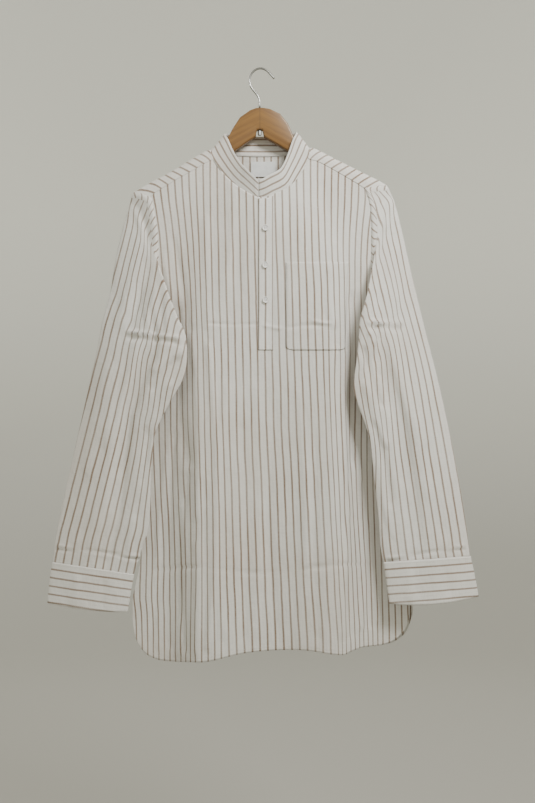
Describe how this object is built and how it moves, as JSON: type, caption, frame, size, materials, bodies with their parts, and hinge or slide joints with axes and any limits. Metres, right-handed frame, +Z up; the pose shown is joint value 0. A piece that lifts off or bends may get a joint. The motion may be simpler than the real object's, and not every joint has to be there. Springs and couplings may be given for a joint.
{
  "type": "kurta tunic on a wooden hanger",
  "caption": "Long-sleeved short kurta tunic with band collar, half placket, chest pocket and curved side-slit hem, hanging open and hollow on a wooden hanger.",
  "frame": {"origin": "inner top of the hanger's hook, where a rail, rod or peg holds it", "axes": "+Z up, the garment's front faces -Y, +X is to the right of someone who looks at the front"},
  "size_m": [0.6892, 0.0815, 0.9554],
  "materials": {
    "striped_cotton": "washed, soft, matte",
    "band_cotton": "washed, fused double, matte",
    "varnished_wood": "clear satin varnish",
    "zinc_wire": "zinc plated, slightly dull",
    "pearl_white": "pearly",
    "label_tape": "plain woven tape"
  },
  "bodies": {
    "root": {"front": "striped_cotton", "back": "striped_cotton", "sleeve_left": "striped_cotton", "sleeve_right": "striped_cotton", "cuff_left": "band_cotton", "cuff_right": "band_cotton", "collar": "band_cotton", "placket": "striped_cotton", "pocket": "striped_cotton", "neck_label": "label_tape", "button_1": "pearl_white", "button_2": "pearl_white", "button_3": "pearl_white", "hanger_wood": "varnished_wood", "hook": "zinc_wire", "hook_nut": "zinc_wire"}
  },
  "joints": []
}
